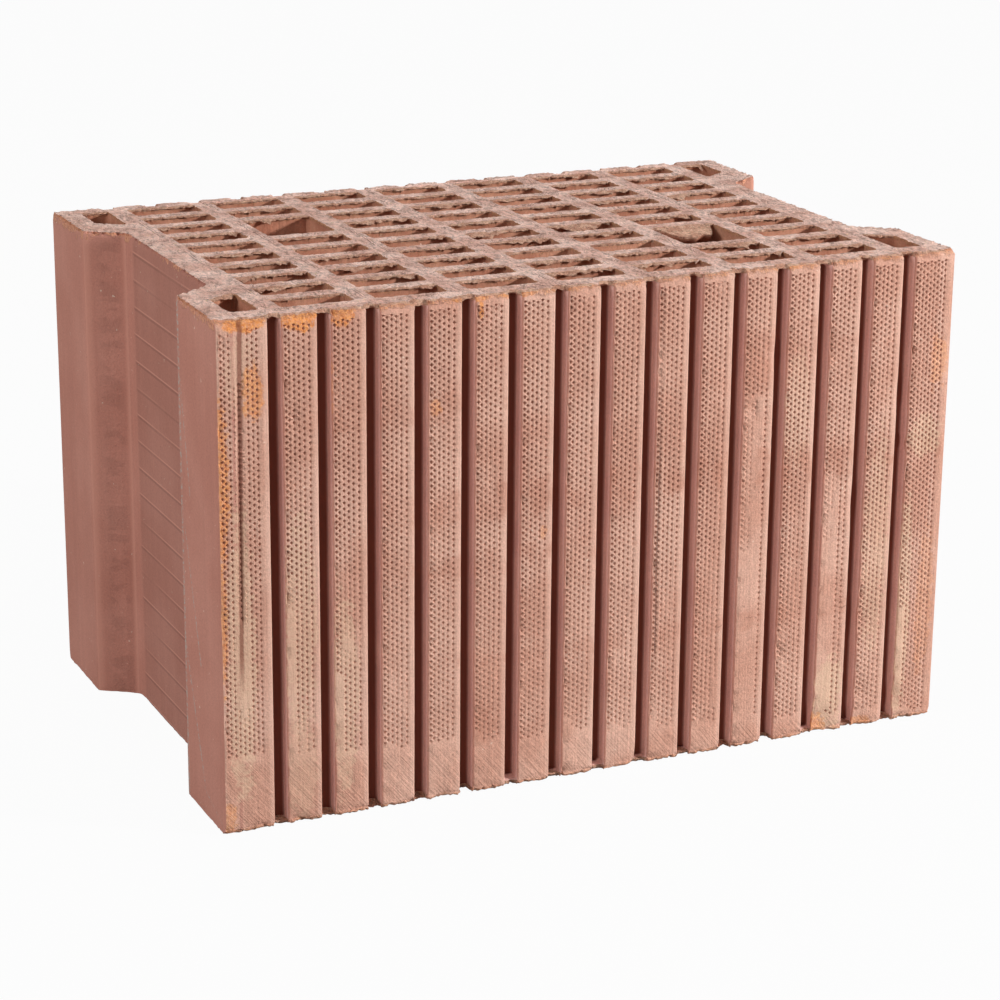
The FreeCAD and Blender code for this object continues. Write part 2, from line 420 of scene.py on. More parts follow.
def press_dimples(mesh, side):
    """Press the staggered dimples into the lands of a slab and count them."""
    cells = [
        face for face in find_lands(mesh, side)
        if all(knurl_foot(vertex.co.x) < vertex.co.z < KNURL_HIGH for vertex in face.verts)
    ]
    poked = bmesh.ops.poke(mesh, faces=cells)
    centres = set(poked["verts"])
    corners = set(poked["faces"])
    grid_lines = [
        edge for edge in mesh.edges
        if not centres.intersection(edge.verts) and len(corners.intersection(edge.link_faces)) == 2
    ]
    bmesh.ops.dissolve_edges(mesh, edges=grid_lines, use_verts=False)
    diamonds = []
    for face in mesh.faces:
        if len(face.verts) == 4 and len(centres.intersection(face.verts)) == 2:
            low, high = span(face)
            middle = face.calc_center_median()
            in_field = any(left < middle.x < right - RIGHT_MARGIN for left, right in land_spans)
            wide = high - low > DIMPLE_ROOM
            if in_field and wide and wear_at(middle.x, middle.z, side) < WORN_OFF:
                diamonds.append(face)
    bmesh.ops.inset_individual(mesh, faces=diamonds, thickness=DIMPLE_MARGIN, use_even_offset=True)
    for face in diamonds:
        set_dimple(face, side)
    pits = bmesh.ops.poke(mesh, faces=diamonds)
    for tip in pits["verts"]:
        fresh = 1 - wear_at(tip.co.x, tip.co.z, side)
        for facet in tip.link_faces:
            offset = facet.calc_center_median() - tip.co
            # Painted shade: the right half of a fresh dimple, which faces away from the key lamp, gets
            # the darker pit finish.
            if fresh > PIT_SHADE_FRESHNESS and offset.x > 0:
                facet.material_index = PAINTED_SHADE_PIT
        tip.co.y -= side * DIMPLE_DEPTH * (0.3 + 0.7 * fresh)
        tip.co.x -= TIP_SHIFT
        tip.co.z -= 0.6 * TIP_SHIFT
    return len(diamonds)


def number_slab(mesh, side):
    """Number the finishes of the lands, grooves and ends of a slab and of its torn bed edges."""
    for face in mesh.faces:
        centre = face.calc_center_median()
        from_bed = min(centre.z, HEIGHT - centre.z)
        in_groove = WIDTH / 2 - side * centre.y > GROOVE_LIP and abs(centre.x) < LENGTH / 2 - END_LAND
        if abs(centre.x) > AT_END:
            face.material_index = END_SKIN
        elif from_bed < (END_LEVELS[2] if in_groove else END_LEVELS[0]):
            face.material_index = TORN
        elif in_groove:
            face.material_index = GROOVE


for slab_mesh, slab_side in ((front_mesh, -1), (back_mesh, 1)):
    number_slab(slab_mesh, slab_side)
    print(press_dimples(slab_mesh, slab_side), "dimples on one face")

# %% [markdown]
# ## Smeared groove ends and crumbled edges
# The cutting wire dragged clay over the ends of the grooves, so most of them close in a thin
# ragged lip at the bed. The points there are simply drawn out towards the face. The roller also
# spread the lands a little to the right, over one side of the groove there and away from the
# other, which left it a sharp edge. The same pass rounds the long edges of the beds, frays the
# left edges of the lands, breaks chips out of them, draws one long drag mark down the first land
# and gives all of them the slight unevenness of clay. Nothing moves outwards past the face, so
# the block keeps its size.

# %% Shape the slabs
ARCH_KEEPS = {-1: 2 * MM, 1: 5 * MM}
ARCH_MARGIN = 2 * MM
GROOVE_DEPTH = 7.5 * MM
DEEPEST = 8.8 * MM
TOP_ROUNDING = 2.4 * MM
FOOT_ROUNDING = 1.3 * MM
CRUMBLE_MOST = 3.0 * MM
CRUMBLE_REACH = 4.4 * MM
SLOW_WAVE = 0.14 * MM
FINE_WAVE = 0.08 * MM
FRAY_DEPTH = 1.7 * MM
FRAY_SIDEWAYS = 0.6 * MM
FRAY_MARGIN = 5 * MM
EDGE_REACH = 1.3 * MM
LAND_SPREAD = 1.4 * MM
WALL_SPREAD = 0.9 * MM
EASED = 1.4 * MM
DRAG_TOP = -176.1 * MM
DRAG_SLANT = 0.011
DRAG_FOOT = 75 * MM
DRAG_FADE = 12 * MM
DRAG_HALF_WIDTH = 1.9 * MM
DRAG_DEPTH = 1.1 * MM
DENTS = [
    (99, 47, 4, 1.3),
    (92.5, 196, 7, 1.2),
    (145, 58, 8, 1.3),
    (146, 20, 6, 1.2),
    (166.5, 12, 5, 1.6),
    (138.5, 118, 9, 1.1),
    (162.5, 171, 8, 1.2),
    (80, 172, 4, 1.4),
    (165.7, 145, 3, 1.6),
    (-151.7, 193, 5, 1.1),
    (123, 4, 9, 3.6),
    (145.5, 2, 7, 3.0),
    (-150, 0, 6, 2.0),
    (20, 0, 7, 2.2),
    (-80, 0, 6, 2.0),
    (-187, 105, 5, 1.2),
]


def arch_closure(x, z, seed):
    """Tell how far a groove is smeared shut at a place, from 0 for open to 1 for shut."""
    for index, (low, high) in enumerate(groove_spans):
        if not low < x < high:
            continue
        across = 2 * (x - (low + high) / 2) / (high - low)
        luck = noise.noise(Vector((index * 7.3, seed, 0.5)))
        slant = noise.noise(Vector((index * 5.1, seed, 9.5)))
        top = (1.3 + 1.2 * luck + 0.9 * across * slant + 1.3 * across ** 2) * MM
        bottom = (0.6 + 2.4 * slant - 1.0 * across * luck + 1.2 * across ** 2) * MM
        return max(smooth_step(top + 0.7 * MM, top, HEIGHT - z) if top > 0 else 0.0,
                   smooth_step(bottom + 0.7 * MM, bottom, z) if bottom > 0 else 0.0)
    return 0.0


def land_spread(x):
    """Tell how far to the right the clay at a place was spread by the roller."""
    for (low, high), (left, right) in zip(land_spans, groove_spans):
        if low <= x <= high:
            return LAND_SPREAD * (x - low) / (high - low)
        if left < x < right - EASED:
            return LAND_SPREAD + (WALL_SPREAD - LAND_SPREAD) * (x - left) / (right - EASED - left)
        if right - EASED <= x < right:
            return WALL_SPREAD * (right - x) / EASED
    return 0.0


def edge_crumble(distance, radius, place, seed):
    """Tell how far an edge of a bed is worn back at a distance from that bed."""
    round_part = radius * max(0.0, 1 - distance / radius) ** 2
    ragged = abs(noise.fractal(place * 260 + Vector((seed, 0, 0)), 0.9, 2.1, 3))
    fade = max(0.0, 1 - distance / CRUMBLE_REACH)
    return round_part + CRUMBLE_MOST * ragged * fade


def left_edge(x):
    """Be 1 on the left edge of a land and fall to 0 a little beside it."""
    return max(0.0, 1 - min(abs(x - land[0]) for land in land_spans) / EDGE_REACH)


def dents_at(x, z):
    """Tell how deep the chips, dents and the drag mark of the photographed face are at a place."""
    deep = 0.0
    for spot_x, spot_z, reach, depth in DENTS:
        gap = math.hypot(x / MM - spot_x, (z / MM - spot_z) * 0.6)
        deep += depth * MM * max(0.0, 1 - gap / reach) ** 1.5
    drag = DRAG_TOP + DRAG_SLANT * (z - HEIGHT) + 0.4 * MM * noise.noise(Vector((z * 60, 0, 0)))
    share = max(0.0, 1 - abs(x - drag) / DRAG_HALF_WIDTH)
    return deep + DRAG_DEPTH * share * smooth_step(DRAG_FOOT - DRAG_FADE, DRAG_FOOT + DRAG_FADE, z)


def shape_slab(mesh, side):
    """Smear the groove ends, round and crumble the bed edges and chip the lands of a slab."""
    seed = SEEDS[side]
    for vertex in mesh.verts:
        x, y, z = vertex.co
        depth = WIDTH / 2 - side * y
        if depth > SLAB - MERGE:
            continue
        place = Vector((x, side, z))
        if abs(x) < LENGTH / 2 - ARCH_MARGIN:
            depth -= arch_closure(x, z, seed) * max(0.0, depth - ARCH_KEEPS[side] * depth / GROOVE_DEPTH)
        inward = edge_crumble(HEIGHT - z, TOP_ROUNDING, place, seed)
        inward += edge_crumble(z, FOOT_ROUNDING, place, seed + 4)
        inward += SLOW_WAVE * (1 + noise.noise(Vector((x * 60, seed, z * 25))))
        inward += FINE_WAVE * (1 + noise.noise(Vector((x * 400, seed, z * 300))))
        edge = left_edge(x)
        fray = noise.fractal(Vector((x * 80, seed, z * 170)), 0.9, 2.0, 3)
        inward += FRAY_DEPTH * edge * max(0.0, fray)
        spread = land_spread(x)
        if side < 0:
            inward += dents_at(x + spread, z)
        room = smooth_step(SLAB, 0.6 * SLAB, depth)
        vertex.co.y = side * (WIDTH / 2 - max(0.0, min(DEEPEST, depth + inward * room)))
        vertex.co.x += spread
        if edge and abs(x) < LENGTH / 2 - FRAY_MARGIN:
            vertex.co.x += FRAY_SIDEWAYS * edge * fray


shape_slab(front_mesh, -1)
shape_slab(back_mesh, 1)
deepest = max(WIDTH / 2 + vertex.co.y for vertex in front_mesh.verts if abs(vertex.co.y) > SEAM + MERGE)
print(f"front shaped, its deepest point {deepest / MM:.1f} mm in")

# %% [markdown]
# ## Closing the slabs
# The slab is still a folded curtain. Two straight edges along the seam complete the outlines of
# its beds and of its hidden rear face, and three fills close it. The beds are then cut along a
# few lines, so that they have points inside, and all points near a bed sink a little, unevenly:
# a wire through wet clay leaves neither a flat bed nor a straight edge. The top of the seam
# sinks by one small amount on all three meshes, so that they still meet.

# %% Beds and rear face of the slabs
SEAM_STRIPS = 170
BED_LINES = [2.2 * MM, 4.6 * MM, 7.2 * MM]
EDGE_SINK = 1.8
SINK_REACH = 6 * MM
SEAM_SINK = 0.35 * MM


def bed_relief(place):
    """Tell how deep the rough surface of a bed lies at a place."""
    spot = Vector((place.x, place.y, 0))
    coarse = abs(noise.fractal(spot * 150, 0.9, 2.0, 3))
    fine = abs(noise.noise(spot * 560))
    return (0.8 * coarse + 0.5 * fine) * MM


def divide_bed(mesh, faces, side):
    """Cut a bed of a slab into triangles and along a few lines."""
    faces = bmesh.ops.triangulate(mesh, faces=faces, ngon_method="BEAUTY")["faces"]
    for depth in BED_LINES:
        faces = cut_faces(mesh, faces, side * (WIDTH / 2 - depth))


def close_slab(mesh, side):
    """Fill the two beds and the rear face of a slab."""
    outline = [edge for edge in mesh.edges if edge.is_boundary]
    straight = []
    beds = []
    for level in (0.0, HEIGHT):
        seam = mesh.edges.new(seam_ends(mesh, level))
        cut = bmesh.ops.subdivide_edges(mesh, edges=[seam], cuts=SEAM_STRIPS - 1)
        seam_edges = only(cut["geom"], bmesh.types.BMEdge)
        rim = [edge for edge in outline if all(abs(v.co.z - level) < MERGE for v in edge.verts)]
        beds.append(bmesh.ops.edgeloop_fill(mesh, edges=rim + seam_edges, mat_nr=BED)["faces"])
        straight += seam_edges
    rear = [edge for edge in outline if all(abs(abs(v.co.y) - SEAM) < MERGE for v in edge.verts)]
    bmesh.ops.edgeloop_fill(mesh, edges=rear + straight, mat_nr=BED)
    for faces in beds:
        for face in faces:
            face.material_index = BED
        divide_bed(mesh, faces, side)
    bmesh.ops.recalc_face_normals(mesh, faces=mesh.faces[:])


def sink_beds(mesh, side):
    """Let the points of both beds of a slab sink unevenly, most at its edges, and those below follow."""
    for vertex in mesh.verts:
        depth = WIDTH / 2 - side * vertex.co.y
        from_bed = min(vertex.co.z, HEIGHT - vertex.co.z)
        if from_bed > SINK_REACH:
            continue
        if depth > SLAB - MERGE:
            sink = SEAM_SINK if vertex.co.z > HEIGHT - MERGE else 0.0
        else:
            on_edge = any(abs(face.normal.z) < 0.5 for face in vertex.link_faces)
            sink = bed_relief(vertex.co) * (EDGE_SINK if on_edge else 1.0) * (1 - from_bed / SINK_REACH)
        vertex.co.z += sink if vertex.co.z < HEIGHT / 2 else -sink


for slab_mesh, slab_side in ((front_mesh, -1), (back_mesh, 1)):
    close_slab(slab_mesh, slab_side)
    sink_beds(slab_mesh, slab_side)
front_face = finished_piece(front_mesh, "front_face")
back_face = finished_piece(back_mesh, "back_face")

# %% [markdown]
# ## The slotted middle: torn rims
# The wire pulls through the clay from the front to the back and tears it where it runs off a
# web, so each slot has a ragged lip that hangs over its back edge, and finer crumbs all round.
# The walls are cut into short strips, with level cuts close to the beds, and the points of the
# rims are pushed over the slot by noise. A ring of faces on the bed takes up the movement. The
# faces are numbered now, while every wall is still flat and its direction plain.

# %% Walls of the middle
STRIP = 1.05 * MM
FOOT_STRIP = 3 * MM
RIM_LEVELS = [0.0, 0.6 * MM, 1.4 * MM, 2.8 * MM, 5 * MM, 10 * MM]
FOOT_LEVELS = [0.0, 0.8 * MM, 2.5 * MM]
TORN_BAND = 1.6 * MM
EAR_BAND = 1.4 * MM
FIELD_STARTS = 30 * MM
EAR_WALL = 9 * MM
EARS_BEYOND = 75 * MM


def in_a_cell(place):
    """Tell whether a place on a wall is in a slot or an ear cell, and not on the outline."""
    from_end = LENGTH / 2 - abs(place.x)
    return from_end > FIELD_STARTS or from_end > EAR_WALL and abs(place.y) > EARS_BEYOND


def on_back_wall(outwards):
    """Tell whether a direction out of the clay is that of the back wall of a slot."""
    return outwards.y < -0.7


def wall_finish(face):
    """Give the finish number of a wall face of the middle."""
    centre = face.calc_center_median()
    if not in_a_cell(centre):
        on_ear = abs(face.normal.x) > 0.99 and abs(centre.x) > AT_END
        return TORN if on_ear and centre.z > HEIGHT - EAR_BAND else END_SKIN
    if on_back_wall(face.normal) and centre.z > HEIGHT - TORN_BAND:
        return TORN
    return SLOT_WALL


def slotted_walls():
    """Cut the middle out of the block and divide its walls into strips and level bands."""
    mesh = block_copy()
    for side in (-1, 1):
        cut_off(mesh, side * SEAM, side)
    upright_walls_only(mesh)
    cut_levels(mesh, FOOT_LEVELS[1:] + [HEIGHT - level for level in RIM_LEVELS[1:]])
    divide_edges(
        mesh, level_edges(mesh),
        lambda edge: STRIP if edge.verts[0].co.z > HEIGHT / 2 else FOOT_STRIP,
    )
    mesh.normal_update()
    for face in mesh.faces:
        face.material_index = wall_finish(face)
    return mesh


middle_mesh = slotted_walls()
print(f"{len(middle_mesh.faces)} strips on the walls of the middle")

# %% [markdown]
# ## Rings of bed faces
# Extruding the rims gives a second line of points, which is drawn back onto the bed by the
# width of a ring, and on the top bed the same is done once more. The rings are where the bed
# may tilt and crumble.

# %% Rings round every rim
RIM_RING = 1.3 * MM
RINGS = {0.0: 1, HEIGHT: 2}


def wall_direction(vertex):
    """Give the level direction out of the clay at a vertex of a wall, long enough to offset a corner."""
    normals = []
    for face in vertex.link_faces:
        if all((face.normal - normal).length > 0.01 for normal in normals):
            normals.append(face.normal.copy())
    if len(normals) == 1:
        return normals[0]
    return (normals[0] + normals[1]) / (1 + normals[0].dot(normals[1]))


directions = {vertex: wall_direction(vertex) for vertex in middle_mesh.verts}


def add_ring(mesh, outline, guides, torn_edges):
    """Extrude an outline and draw it back onto the bed; give the new outline and its guides."""
    grown = bmesh.ops.extrude_edge_only(mesh, edges=outline)["geom"]
    fresh = {}
    for vertex in only(grown, bmesh.types.BMVert):
        beside = [edge.other_vert(vertex) for edge in vertex.link_edges]
        fresh[vertex] = next(guides[source] for source in beside if source in guides)
        vertex.co -= fresh[vertex] * RIM_RING
    for face in only(grown, bmesh.types.BMFace):
        back = all(on_back_wall(guides[v]) for v in face.verts if v in guides)
        torn = torn_edges and back and in_a_cell(face.verts[0].co)
        face.material_index = TORN if torn else BED
    edges = only(grown, bmesh.types.BMEdge)
    return [edge for edge in edges if all(vertex in fresh for vertex in edge.verts)], fresh


ring_edges = {}
for level, count in RINGS.items():
    outline = [
        edge for edge in level_edges(middle_mesh)
        if edge.is_boundary and abs(edge.verts[0].co.z - level) < MERGE
    ]
    guides = directions
    for step in range(count):
        outline, guides = add_ring(middle_mesh, outline, guides, level > 0 and step == 0)
    ring_edges[level] = outline
print({f"{level:.2f}": len(edges) for level, edges in ring_edges.items()}, "ring edges")

# %% [markdown]
# ## Lips and a flap
# How far a lip hangs over is a sum of noises: fine teeth along the whole rim, lobes of several
# millimetres on the back edge, and a slow luck that makes some slots ragged and others clean.
# In the right grip hole the torn web is still there as a thick rounded flap. It is the same
# push, only further and deeper down the wall.

# %% Rims torn by the wire
LIP_SHARES = [0.92, 1.0, 0.3, 0.05, 0.0, 0.0]
FLAP_SHARES = [1.0, 1.0, 0.97, 0.9, 0.7, 0.3]
FOOT_SHARES = [0.5, 0.3, 0.0]
LIP_MOST = 7.0
FRONT_TEETH = 2.3
FLAP_MOST = 14 * MM
FLAP_LEFT = 12 * MM
FLAP_RIGHT = 7 * MM
DROOP = 0.22
openings = {item["name"]: item["box_m"] for item in frame["record"]["physics"]["openings"]}
flap_low, flap_high = [Vector(corner) for corner in openings["grip_hole_right"]]


def lip_reach(place, outwards):
    """Tell how far the torn lip hangs over a slot at a place on its rim."""
    spot = Vector((place.x, place.y, 0))
    teeth = abs(noise.fractal(spot * 420, 0.9, 2.0, 3))
    fine = 0.15 + 0.8 * teeth
    if not on_back_wall(outwards):
        return fine * MM * (FRONT_TEETH if outwards.y > 0.7 else 1.0)
    lobes = noise.noise(spot * 115 + Vector((4.2, 0, 0)))
    luck = max(0.2, 0.9 + 1.4 * noise.noise(spot * 23 + Vector((0, 7.7, 0))))
    return min(LIP_MOST, fine + luck * (0.5 + 1.9 * teeth + 4.4 * max(0.0, lobes))) * MM


def flap_reach(place):
    """Tell how far the flap hangs into the right grip hole from a place on its back wall."""
    if abs(place.y - flap_high.y) > 2 * MM or not flap_low.x < place.x < flap_high.x:
        return 0.0
    left = smooth_step(flap_low.x, flap_low.x + FLAP_LEFT, place.x)
    right = smooth_step(flap_high.x, flap_high.x - FLAP_RIGHT, place.x)
    return FLAP_MOST * left * right * (0.9 + 0.3 * noise.noise(Vector((place.x * 160, 0, 0))))


def tear_rim(vertex, outwards, share, flap_share):
    """Push one point of a rim over its slot, or wear it back on the outline."""
    place = vertex.co.copy()
    if not in_a_cell(place):
        crumble = abs(noise.fractal(place * 300, 0.9, 2.0, 3))
        vertex.co -= outwards * (0.3 + 2.6 * crumble) * MM * share
        vertex.co.z -= 1.2 * MM * crumble * share
        return
    ragged = 1 + 1.3 * noise.noise(place * 640) * (share < 1)
    reach = lip_reach(place, outwards) * share * ragged
    reach = max(reach, flap_reach(place) * flap_share)
    vertex.co += outwards * reach
    vertex.co.z -= DROOP * reach


def tear_rims(rows):
    """Tear all rims, less and less away from the bed."""
    for vertex, outwards in rows:
        top = vertex.co.z > HEIGHT / 2
        from_bed = HEIGHT - vertex.co.z if top else vertex.co.z
        levels, shares = (RIM_LEVELS, LIP_SHARES) if top else (FOOT_LEVELS, FOOT_SHARES)
        step = next((step for step, level in enumerate(levels) if abs(level - from_bed) < MERGE), None)
        if step is None or abs(vertex.co.y) > SEAM - MERGE:
            continue
        if top:
            tear_rim(vertex, outwards, shares[step], FLAP_SHARES[step])
        else:
            crumble = abs(noise.fractal(vertex.co * 300, 0.9, 2.0, 3))
            vertex.co -= outwards * (0.2 + 0.9 * crumble) * MM * shares[step]
        if from_bed < MERGE:
            drop = 0.6 * MM * abs(noise.noise(vertex.co * 500))
            vertex.co.z += -drop if top else drop


tear_rims(directions.items())
print(f"{len(directions)} points of the walls looked at, lips up to {LIP_MOST} mm")

# %% [markdown]
# ## Beds of the middle
# A bed is a flat sheet with seventy-odd holes. Blender's triangle fill takes all the ring
# outlines at once and fills what lies between them. The two seam planes are plain fills. Then
# the points of the rings on the top bed sink by the same relief as the beds of the slabs.

# %% Fill the beds and the seams


def close_middle(mesh):
    """Fill both beds and both seam planes of the middle."""
    for level, edges in ring_edges.items():
        on_seam = {vertex for edge in edges for vertex in edge.verts if abs(vertex.co.y) > SEAM - MERGE}
        for side in (-1, 1):
            left, right = sorted((v for v in on_seam if v.co.y * side > 0), key=lambda v: v.co.x)
            edges.append(mesh.edges.new((left, right)))
        up = 1 if level else -1
        filled = bmesh.ops.triangle_fill(mesh, edges=edges, use_beauty=True, normal=(0, 0, up))
        for face in only(filled["geom"], bmesh.types.BMFace):
            face.material_index = BED
    for side in (-1, 1):
        seam = [
            edge for edge in mesh.edges
            if edge.is_boundary and all(v.co.y * side > SEAM - MERGE for v in edge.verts)
        ]
        bmesh.ops.edgeloop_fill(mesh, edges=seam, mat_nr=BED)
    bmesh.ops.recalc_face_normals(mesh, faces=mesh.faces[:])


def sink_rings(mesh):
    """Let the points of the top bed sink unevenly, and the seams as far as on the slabs."""
    for vertex in mesh.verts:
        if vertex.co.z > HEIGHT - MERGE:
            on_seam = abs(vertex.co.y) > SEAM - MERGE
            vertex.co.z -= SEAM_SINK if on_seam else bed_relief(vertex.co)


close_middle(middle_mesh)
sink_rings(middle_mesh)
slotted_middle = finished_piece(middle_mesh, "slotted_middle")

# %% [markdown]
# ## A small language for finishes
# A material is a tree of nodes. To keep the trees readable, one class wraps an output socket so
# that sums and products on it add Math nodes, and one method makes every other node. All sizes
# in the finishes are millimetres on the block, so that a number means the same on every piece.

# %% Wires and benches


class Wire:
    """An output of a node. Arithmetic on it adds Math nodes to its tree."""

    def __init__(self, bench, socket):
        self.bench = bench
        self.socket = socket

    def maths(self, operation, first, second=0.0):
        return self.bench.node("ShaderNodeMath", {"operation": operation}, {0: first, 1: second})

    def __add__(self, other):
        return self.maths("ADD", self, other)

    def __sub__(self, other):
        return self.maths("SUBTRACT", self, other)

    def __rsub__(self, other):
        return self.maths("SUBTRACT", other, self)

    def __mul__(self, other):
        return self.maths("MULTIPLY", self, other)

    def most(self, other):
        return self.maths("MAXIMUM", self, other)

    def absolute(self):
        return self.maths("ABSOLUTE", self)

    def folded(self, pitch):
        """Give the distance from the nearest multiple of a pitch."""
        return self.maths("PINGPONG", self, pitch / 2)


class Bench:
    """A node tree to build a finish on. Places are in millimetres."""

    def __init__(self, tree):
        self.tree = tree
        tree.nodes.clear()

    def node(self, kind, settings=None, inputs=None, output=0):
        """Add a node: its settings first, then the values or wires of its sockets; give one output."""
        made = self.tree.nodes.new(kind)
        for name, setting in (settings or {}).items():
            setattr(made, name, setting)
        for key, value in (inputs or {}).items():
            if isinstance(value, Wire):
                self.tree.links.new(value.socket, made.inputs[key])
            else:
                made.inputs[key].default_value = value
        return Wire(self, made.outputs[output]) if made.outputs else None

    def place(self):
        """Give the place on the block in millimetres."""
        metres = self.node("ShaderNodeTexCoord", output=3)
        return self.node("ShaderNodeVectorMath", {"operation": "SCALE"}, {0: metres, 3: 1 / MM})

    def axes(self, vector):
        """Split a vector into its three wires."""
        split = self.node("ShaderNodeSeparateXYZ", None, {0: vector}).socket.node
        return [Wire(self, output) for output in split.outputs]

    def stretched(self, vector, x, y, z):
        """Scale a vector, so that a small number draws a pattern out along that axis."""
        return self.node("ShaderNodeVectorMath", {"operation": "MULTIPLY"}, {0: vector, 1: (x, y, z)})

    def turned(self, vector, angle):
        """Turn a vector about the axis through the wall."""
        return self.node("ShaderNodeMapping", None, {"Vector": vector, "Rotation": (0, angle, 0)})

    def cloud(self, vector, size, detail=2.0, roughness=0.55):
        """Give noise with lumps of about a size in millimetres."""
        return self.node("ShaderNodeTexNoise", None, {
            "Vector": vector, "Scale": 1 / size, "Detail": detail, "Roughness": roughness,
        })

    def rise(self, value, low, high):
        """Rise smoothly from 0 to 1 between two values."""
        return self.node("ShaderNodeMapRange", {"interpolation_type": "SMOOTHSTEP"}, {
            "Value": value, "From Min": low, "From Max": high,
        })

    def window(self, value, low, high, soft):
        """Be 1 between two values and 0 beyond them, with soft edges."""
        above_low = self.rise(value, low - soft, low + soft)
        return above_low * (1 - self.rise(value, high - soft, high + soft))

    def line(self, gap, half):
        """Be 1 where a gap is 0 and fall to 0 at half a line's width."""
        return 1 - self.rise(gap.absolute(), 0.35 * half, half)

    def tint(self, first, second, factor, how="MIX"):
        """Mix two colours."""
        return self.node("ShaderNodeMix", {"data_type": "RGBA", "blend_type": how}, {
            0: factor, 6: first, 7: second,
        }, output=2)

    def shaded(self, colour, value):
        """Multiply a colour by a value."""
        return self.tint(colour, value, 1.0, "MULTIPLY")

    def clay(self, colour, height, roughness=0.9):
        """End the tree in fired clay of a colour, with a height in millimetres as bump."""
        bump = self.node("ShaderNodeBump", None, {"Strength": 1.0, "Distance": MM, "Height": height})
        shader = self.node("ShaderNodeBsdfPrincipled", None, {
            "Base Color": colour, "Roughness": roughness, "Specular IOR Level": 0.25, "Normal": bump,
        })
        self.node("ShaderNodeOutputMaterial", None, {"Surface": shader})


def shade(red, green, blue):
    """Give a colour as it looks on screen, 0 to 255, in the linear form that nodes use."""
    linear = [((part / 255 + 0.055) / 1.055) ** 2.4 for part in (red, green, blue)]
    return (*linear, 1.0)


def new_finish(name):
    """Make a material with an empty bench."""
    material = bpy.data.materials.new(name)
    material.use_nodes = True
    return material, Bench(material.node_tree)


# %% [markdown]
# ## The clay itself
# All finishes share one clay: a ground between two tones that change slowly, fine grain, dark
# pores and a few pale grains. Each finish below only chooses its tones and adds its own marks.

# %% Clay ground
PALE_GRAIN = shade(232, 212, 192)
PORE = shade(104, 64, 50)
RUST = shade(172, 108, 84)
BEIGE = shade(218, 184, 156)
ORANGE = shade(238, 164, 98)
DEEP_ORANGE = shade(212, 126, 64)
DRAG = shade(122, 66, 50)
CRACK = shade(78, 42, 30)
CHALK = shade(172, 166, 158)


def clay_ground(bench, place, tone, other_tone, patch_size, contrast=0.6):
    """Give the colour of plain clay and its grain."""
    slow = bench.cloud(place, patch_size, 3)
    grain = bench.cloud(place, 0.9, 3, 0.7)
    colour = bench.tint(tone, other_tone, bench.rise(slow, 0.35, 0.68))
    colour = bench.shaded(colour, bench.rise(grain, 0.15, 0.8) * contrast + (1 - contrast / 2))
    pores = bench.rise(bench.cloud(place, 1.7, 2), 0.69, 0.74)
    colour = bench.tint(colour, PORE, pores * contrast)
    grains = bench.rise(bench.cloud(bench.stretched(place, 1, 1, 1.01), 2.3, 2), 0.735, 0.77)
    colour = bench.tint(colour, PALE_GRAIN, grains * 0.7)
    return colour, grain


# %% [markdown]
# ## Marks on the lands
# The photographed face is stained: orange where the clay was sandy, beige where it was rubbed,
# redder where something brushed along it. Painting an image would do it, but here each mark is
# an oval with a ragged edge, given by its place and half sizes, so the list reads like a map.

# %% Stains and cracks of the photographed face
ORANGE_MARKS = [
    (-174, 238, 10, 5, 1.0), (-149, 238, 9, 6.5, 1.0), (-129, 238, 6, 6, 0.9),
    (-171, 207, 5, 14, 0.75), (-186, 165, 4, 40, 0.8), (-187, 100, 3, 30, 0.7), (-62, 233, 1.3, 5, 0.9),
    (-84, 190, 3, 4, 0.5), (180, 62, 5, 40, 0.25), (181, 185, 5, 14, 0.4), (-135, 205, 2, 18, 0.35),
    (121, 3, 6, 8, 0.6), (-186, 6, 5, 10, 0.5), (146, 1, 8, 5, 0.5), (-30, 125, 2, 3, 0.4),
    (-67, 239, 9, 2, 0.7), (-44, 239, 9, 2, 0.7), (-22, 239, 5, 1.5, 0.6), (95, 239, 9, 1.5, 0.5),
]
BEIGE_MARKS = [
    (-178, 85, 7, 70, 0.7), (-150, 95, 8, 55, 0.55), (-129, 60, 7, 50, 0.55), (-150, 25, 8, 22, 0.35),
    (127, 20, 8, 20, 0.8), (150, 95, 7, 55, 0.45), (168, 60, 4, 60, 0.7), (176, 148, 9, 11, 0.6),
    (103, 170, 7, 30, 0.3), (-176, 215, 8, 18, 0.35),
]
RUST_MARKS = [
    (-20, 143, 110, 9, 0.4), (110, 143, 90, 10, 0.45), (-40, 114, 60, 7, 0.4), (60, 66, 130, 5, 0.3),
    (-100, 190, 60, 8, 0.3), (120, 205, 60, 9, 0.3), (-61, 35, 8, 12, 0.35), (79, 190, 8, 18, 0.3),
]
SPLIT_PLACE = 29.8
SPLIT_LOW = 55.0
SPLIT_HIGH = 239.0
CROSS_CRACK = 66.0


def mark_mask(bench, x, z, ragged, marks):
    """Be up to 1 within any of a list of ragged ovals."""
    mask = None
    for middle_x, middle_z, half_x, half_z, strength in marks:
        across = (x - middle_x) * (1 / half_x)
        along = (z - middle_z) * (1 / half_z)
        oval = (1 - bench.rise(across * across + along * along + ragged, 0.6, 1.2)) * strength
        mask = mask.most(oval) if mask else oval
    return mask


def crack_mask(bench, place, x, z):
    """Be 1 along the long split of one land and the short level cracks of several."""
    sway = bench.cloud(bench.stretched(place, 0, 0, 0.1), 7, 2) - 0.5
    split = bench.line(x - SPLIT_PLACE - sway * 2, 0.7) * bench.window(z, SPLIT_LOW, SPLIT_HIGH, 4)
    split = split * (1 - bench.rise(z, 140, 175) * 0.6)
    swing = bench.cloud(bench.stretched(place, 1, 0, 0.02), 9, 3) - 0.5
    level = bench.line(z - CROSS_CRACK - swing * 16, 0.45) * bench.rise(x, -60, -30)
    broken = bench.rise(bench.cloud(place, 6, 2), 0.55, 0.6)
    return split.most(level * broken * 0.6)
